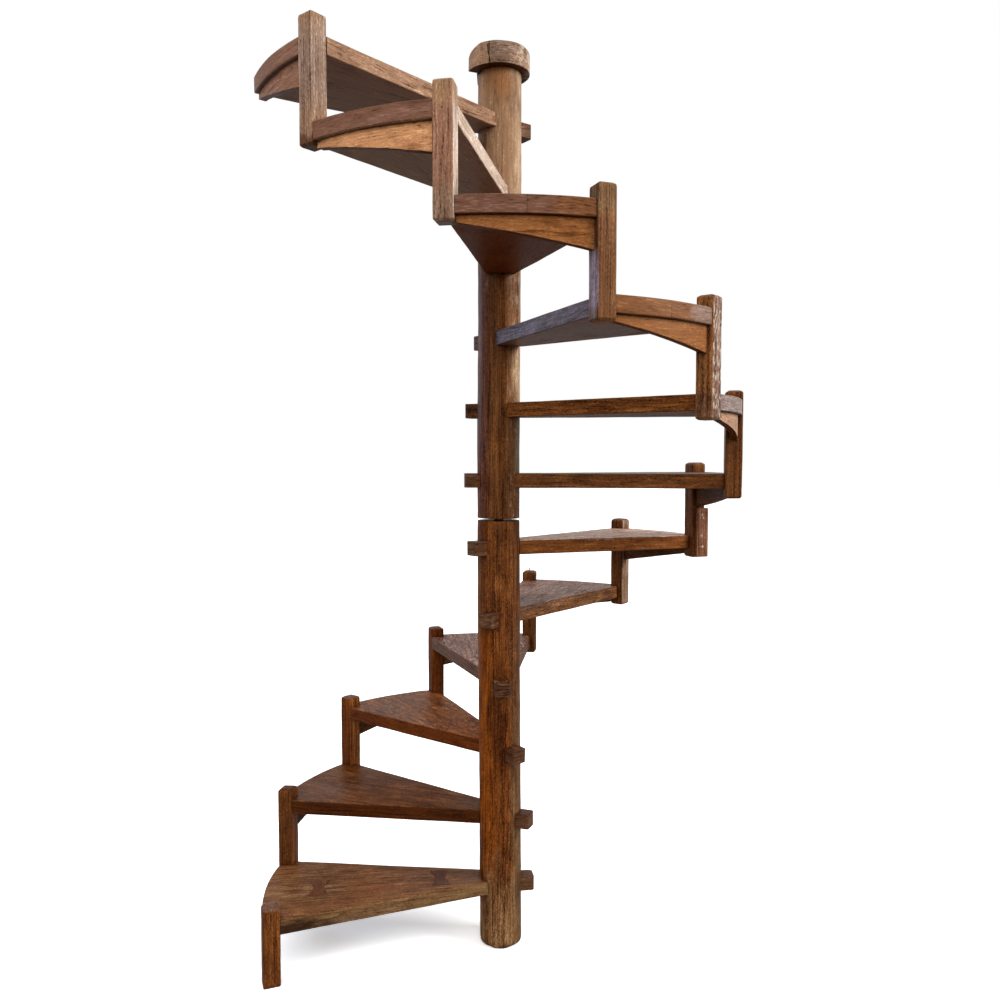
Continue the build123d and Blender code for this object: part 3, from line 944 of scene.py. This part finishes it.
nailStains = [((height - middle.z, -0.008, side), (0.005, 0.01, 0.004), tone("pale", 1.1), 0.8)
              for height, side in ((1.349, 0.002), (1.338, -0.003), (1.279, 0.003), (1.242, -0.001))]
cleatFinish = woodFinish(
    "cleatWood", middle, (0, -90, bearing(7) + stair["sideAngle"]), 77.0, body=(0.17, 0.068, 0.034),
    contrast=0.7, spots=nailStains)
piece = dress("post_cleat", "cleat", upright, cleatFinish, 77)
keyFinish = woodFinish(
    "keyWood", (0, 0, treadTops[1]), (0, 0, bearing(1) + 90), 81.0, body=(0.105, 0.035, 0.013), contrast=0.5,
    spots=[((0.0, -0.19, 0.0), (0.1, 0.05, 0.02), (0.055, 0.016, 0.005), 0.9)])
piece = dress("butterfly_keys", "key", Vector(heading(bearing(1) + 90)), keyFinish, 81)
print("newel, cap, dowel, cleat and keys worked")

# Nails: one tree sets a head on each point, proud along the point's normal

nails = {  # each at a place out along its post's own bearing, across it, and up from its step's tread
    "dark": {"at": [((0.7125, 0.0205, -0.0127), 1, "front"), ((0.7138, 0.0205, -0.1228), 1, "front"),
                    ((0.7355, -0.0069, -0.0231), 11, "outer")], "radius": 0.0026, "proud": 0.0006},
    "bright": {"at": [((0.7092, -0.0418, -0.144), 7, "aft"), ((0.7093, -0.0418, -0.1545), 7, "aft"),
                      ((0.7102, -0.0418, -0.2145), 7, "aft"), ((0.7107, -0.0418, -0.2515), 7, "aft")],
               "radius": 0.0024, "proud": 0.0008},
    "standing": {"at": [((0.708, -0.004, 0.034), 5, "top")], "radius": 0.0021, "proud": 0.013},
}


def makeNailTree():
    tree = bpy.data.node_groups.new("nailHeads", "GeometryNodeTree")
    tree.interface.new_socket("Geometry", in_out="INPUT", socket_type="NodeSocketGeometry")
    for label, value in (("Radius", 0.0024), ("Proud", 0.0004), ("Unevenness", 0.2)):
        socket = tree.interface.new_socket(label, in_out="INPUT", socket_type="NodeSocketFloat")
        socket.default_value = value
    tree.interface.new_socket("Finish", in_out="INPUT", socket_type="NodeSocketMaterial")
    tree.interface.new_socket("Geometry", in_out="OUTPUT", socket_type="NodeSocketGeometry")
    given = tree.nodes.new("NodeGroupInput").outputs
    head = addNode("GeometryNodeMeshCone", {
        "Vertices": 10, "Radius Bottom": given["Radius"], "Radius Top": times(given["Radius"], 0.7),
        "Depth": given["Proud"]}).outputs["Mesh"]
    normal = tree.nodes.new("GeometryNodeInputNamedAttribute")
    normal.data_type = "FLOAT_VECTOR"
    normal.inputs["Name"].default_value = "facing"
    turn = addNode("FunctionNodeAlignRotationToVector", {"Vector": normal.outputs[0]}, axis="Z").outputs[0]
    least, most = minus(1.0, given["Unevenness"]), plus(1.0, given["Unevenness"])
    size = addNode("FunctionNodeRandomValue", {2: least, 3: most, "Seed": 7}).outputs[1]
    points = addNode("GeometryNodeMeshToPoints", {"Mesh": given["Geometry"]}).outputs[0]
    heads = addNode("GeometryNodeInstanceOnPoints", {
        "Points": points, "Instance": head, "Rotation": turn, "Scale": size}).outputs[0]
    real = addNode("GeometryNodeRealizeInstances", {0: heads}).outputs[0]
    made = addNode("GeometryNodeSetMaterial", {"Geometry": real, "Material": given["Finish"]}).outputs[0]
    wire(made, tree.nodes.new("NodeGroupOutput").inputs["Geometry"])
    return tree


def ironFinish(name, body):
    material = bpy.data.materials.new(name)
    material.use_nodes = True
    surface = material.node_tree.nodes["Principled BSDF"].inputs
    spot = material.node_tree.nodes.new("ShaderNodeTexCoord").outputs["Object"]
    rust = softStep(noiseAt(spot, 700.0, 3.0, 0.6), 0.4, 0.65)
    wire(blend(rust, body, tone("red", 0.8)), surface["Base Color"])
    wire(plus(times(rust, 0.3), 0.45), surface["Roughness"])
    surface["Metallic"].default_value = 0.4
    return material


def setNails(label, finish):
    work = nails[label]
    form = bpy.data.meshes.new(label + "NailPoints")
    places, ways = [], []
    for (x, y, z), step, side in work["at"]:
        sides = sideWays(step)
        out, across = Vector(sides["outer"]), Vector(sides["front"])
        places.append(settled(out * x + across * y + upright * (treadTops[step] + z)))
        ways.append(sides[side])
    form.from_pydata(places, [], [])
    normals = form.attributes.new("facing", "FLOAT_VECTOR", "POINT")
    for index, way in enumerate(ways):
        normals.data[index].vector = way
    carrier = bpy.data.objects.new(label + "Nails", form)
    scene.collection.objects.link(carrier)
    modifier = carrier.modifiers.new("nailHeads", "NODES")
    modifier.node_group = nailTree
    given = {item.name: item.identifier for item in nailTree.interface.items_tree if item.in_out == "INPUT"}
    modifier[given["Radius"]] = work["radius"]
    modifier[given["Proud"]] = work["proud"]
    modifier[given["Finish"]] = finish
    driven = carrier.evaluated_get(bpy.context.evaluated_depsgraph_get())
    mesh = bpy.data.meshes.new_from_object(driven)
    carrier.modifiers.remove(modifier)
    carrier.data = mesh
    bpy.data.meshes.remove(form)
    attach(carrier, "root")


nailTree = makeNailTree()
darkIron = ironFinish("darkIron", (0.03, 0.022, 0.018))
brightIron = ironFinish("brightIron", (0.4, 0.33, 0.28))
for label, finish in (("dark", darkIron), ("bright", brightIron), ("standing", darkIron)):
    setNails(label, finish)
print("nails set")

# Studio: a pale floor, white surroundings to the eye, soft light mainly from the right

studio = {
    "surround": 0.6,  # the world's light on the stair
    "inPolish": 0.3, "floorInPolish": 0.1,  # how much of the white room and floor the waxed wood mirrors
    "floorToEye": 1.7, "floorBounce": 0.2, "floorSize": 40.0,
    "front": {"kind": "SUN", "energy": 2.0, "angle": math.radians(60), "turn": (60, 0, -14)},
    "right": {"kind": "AREA", "energy": 170, "size": 2.0, "at": (3.9, -1.3, 3.4), "towards": (0, 0, 2.2)},
    "window": {"kind": "AREA", "energy": 13, "size": 1.0, "at": (-2.6, 1.6, 2.2), "towards": (0, 0, 1.8),
               "color": (0.62, 0.72, 1.0)},
}


# One grey lights the stair, another is what the eye sees and, in part, what the polish mirrors
def seenAs(tree, inPolish, light, toEye):
    path = tree.nodes.new("ShaderNodeLightPath").outputs
    mirrored = times(path["Is Glossy Ray"], inPolish)
    direct = highest(highest(path["Is Camera Ray"], mirrored), path["Is Transmission Ray"])
    return blend(direct, (light,) * 3, (toEye,) * 3)


world = bpy.data.worlds.new("whiteStudio")
scene.world = world
world.use_nodes = True
sky = world.node_tree
wire(seenAs(sky, studio["inPolish"], studio["surround"], 1.0), sky.nodes["Background"].inputs["Color"])

floorForm = bmesh.new()
bmesh.ops.create_grid(floorForm, x_segments=8, y_segments=8, size=studio["floorSize"])
floorMesh = bpy.data.meshes.new("studioFloor")
floorForm.to_mesh(floorMesh)
floorForm.free()
studioFloor = bpy.data.objects.new("studioFloor", floorMesh)
scene.collection.objects.link(studioFloor)
floorFinish = bpy.data.materials.new("paleFloor")
floorFinish.use_nodes = True
ground = floorFinish.node_tree.nodes["Principled BSDF"].inputs
wire(seenAs(floorFinish.node_tree, studio["floorInPolish"], studio["floorBounce"], studio["floorToEye"]),
     ground["Base Color"])
ground["Roughness"].default_value = 1.0
ground["Specular IOR Level"].default_value = 0.0
floorMesh.materials.append(floorFinish)

for label in ("front", "right", "window"):
    lamp = studio[label]
    lampData = bpy.data.lights.new(label + "Light", lamp["kind"])
    for setting in ("energy", "angle", "size", "color"):
        if setting in lamp:
            setattr(lampData, setting, lamp[setting])
    lampObject = bpy.data.objects.new(label + "Light", lampData)
    if "turn" in lamp:
        lampObject.rotation_euler = turned(lamp["turn"])
    else:
        lampObject.location = lamp["at"]
        aim = Vector(lamp["towards"]) - Vector(lamp["at"])
        lampObject.rotation_euler = aim.to_track_quat("-Z", "Y").to_euler()
    scene.collection.objects.link(lampObject)
scene.view_settings.view_transform = "Standard"
print("studio lit")

# The camera stands in front at eye height, tipped a little down
viewpoint = {"distance": 2.779, "height": 1.547, "tip": 3.05, "lens": 32.05, "shift": (0.00155, 0.00339)}
cameraData = bpy.data.cameras.new("camera")
cameraData.sensor_width = 36.0
cameraData.lens = viewpoint["lens"]
cameraData.shift_x, cameraData.shift_y = viewpoint["shift"]
camera = bpy.data.objects.new("camera", cameraData)
camera.location = (0.0, -viewpoint["distance"], viewpoint["height"])
camera.rotation_euler = (math.radians(90 - viewpoint["tip"]), 0.0, 0.0)
scene.collection.objects.link(camera)
scene.camera = camera
